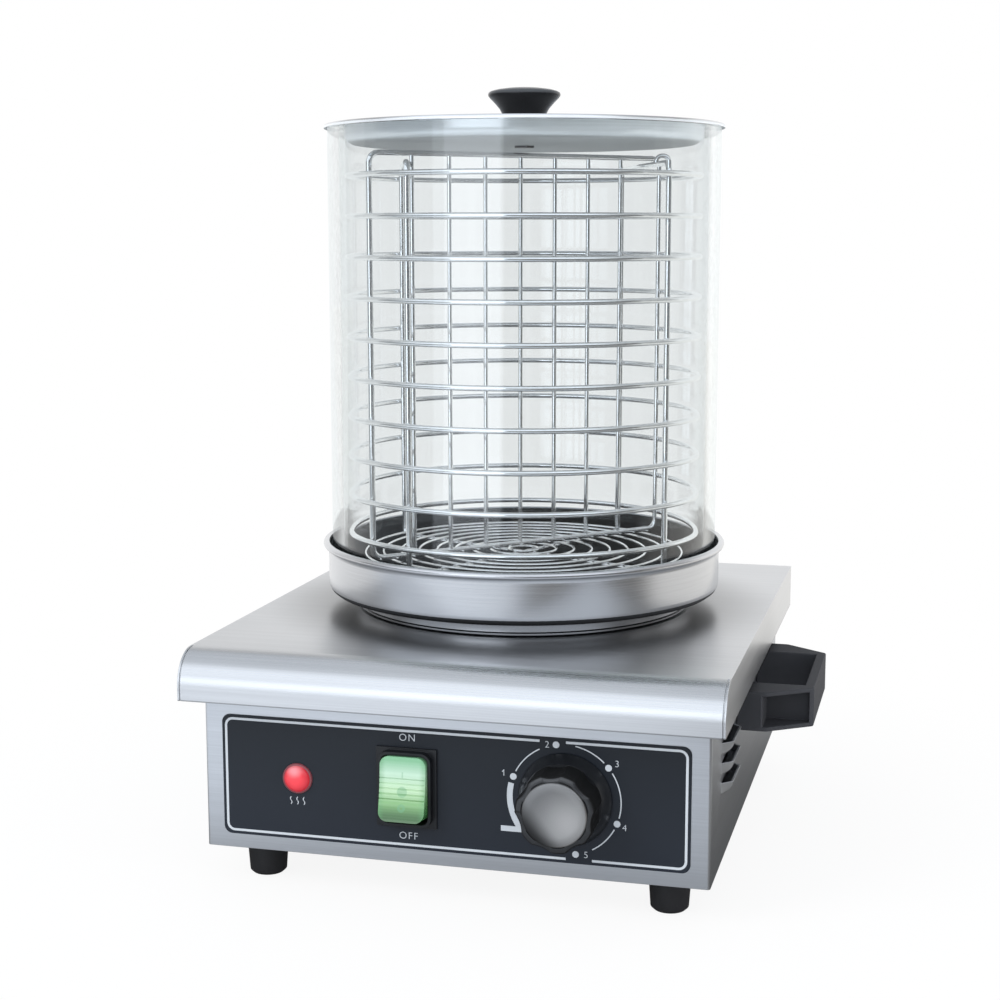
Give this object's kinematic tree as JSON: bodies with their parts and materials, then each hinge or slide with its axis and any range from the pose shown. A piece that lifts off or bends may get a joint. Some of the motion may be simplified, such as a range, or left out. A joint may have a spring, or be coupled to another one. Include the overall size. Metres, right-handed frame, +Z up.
{
  "type": "hot dog steamer",
  "caption": "Countertop steamer: a stainless base with switch, lamp and dial, a water tray, and a lidded clear glass tube around a divided wire basket.",
  "frame": {"origin": "on the ground under the centre of the top cover", "axes": "+X to the right seen from the front, -Y out of the control face, +Z up"},
  "size_m": [0.3126, 0.3064, 0.3808],
  "materials": {
    "stainless": "brushed stainless sheet, fine straight grain",
    "tray_steel": "drawn stainless, satin inside, grain round the wall",
    "lid_steel": "pressed stainless, fine spun grain",
    "wire": "bright plated wire",
    "glass": "clear toughened tube with polished edges",
    "black_plastic": "satin black moulded plastic",
    "knob_plastic": "semi-gloss black phenolic",
    "label_film": "charcoal label film with light printing",
    "red_lens": "clear red moulding",
    "green_rocker": "translucent green moulding",
    "satin_aluminium": "spun aluminium",
    "cast_aluminium": "cast aluminium, machined face",
    "rubber": "moulded black rubber",
    "screw_steel": "bright zinc plating",
    "element_steel": "oxidised heating element sheath",
    "white_plastic": "natural white moulding",
    "brass": "plain brass"
  },
  "bodies": {
    "base": {"top_cover": "stainless", "base_housing": "stainless", "rear_panel": "stainless", "rear_screws": "screw_steel", "bottom_plate": "stainless", "feet": "rubber", "handle_right": "black_plastic", "handle_left": "black_plastic", "handle_screws": "screw_steel", "control_label": "label_film", "pilot_lens": "red_lens", "pilot_body": "white_plastic", "switch_frame": "black_plastic", "switch_terminals": "brass", "thermostat_body": "white_plastic", "heater_plate": "cast_aluminium", "heating_element": "element_steel", "heater_bracket": "screw_steel", "heater_nut": "screw_steel", "cable_gland": "black_plastic", "gland_nut": "black_plastic", "terminal_block": "white_plastic", "earth_stud": "brass", "water_tray": "tray_steel"},
    "basket": {"basket_rings": "wire", "basket_frame": "wire", "basket_grate": "wire", "basket_divider": "wire"},
    "glass": {"glass_tube": "glass"},
    "lid": {"lid_pan": "lid_steel", "lid_knob": "knob_plastic", "lid_screw": "screw_steel"},
    "rocker": {"switch_rocker": "green_rocker"},
    "knob": {"knob_grip": "knob_plastic", "knob_cap": "satin_aluminium", "thermostat_shaft": "screw_steel"}
  },
  "joints": [
    {"name": "basket_lift", "type": "slide", "parent": "base", "child": "basket", "axis": [0, 0, 1], "range_m": [0, 0.06]},
    {"name": "glass_lift", "type": "slide", "parent": "basket", "child": "glass", "axis": [0, 0, 1], "range_m": [0, 0.24]},
    {"name": "lid_lift", "type": "slide", "parent": "glass", "child": "lid", "axis": [0, 0, 1], "range_m": [0, 0.06]},
    {"name": "rocker_tilt", "type": "hinge", "parent": "base", "child": "rocker", "pos_m": [-0.0203, -0.1298, 0.0555], "axis": [1, 0, 0], "range_deg": [0, 17]},
    {"name": "knob_turn", "type": "hinge", "parent": "base", "child": "knob", "pos_m": [0.0543, -0.1302, 0.0555], "axis": [0, 1, 0], "range_deg": [-40, 259]}
  ]
}
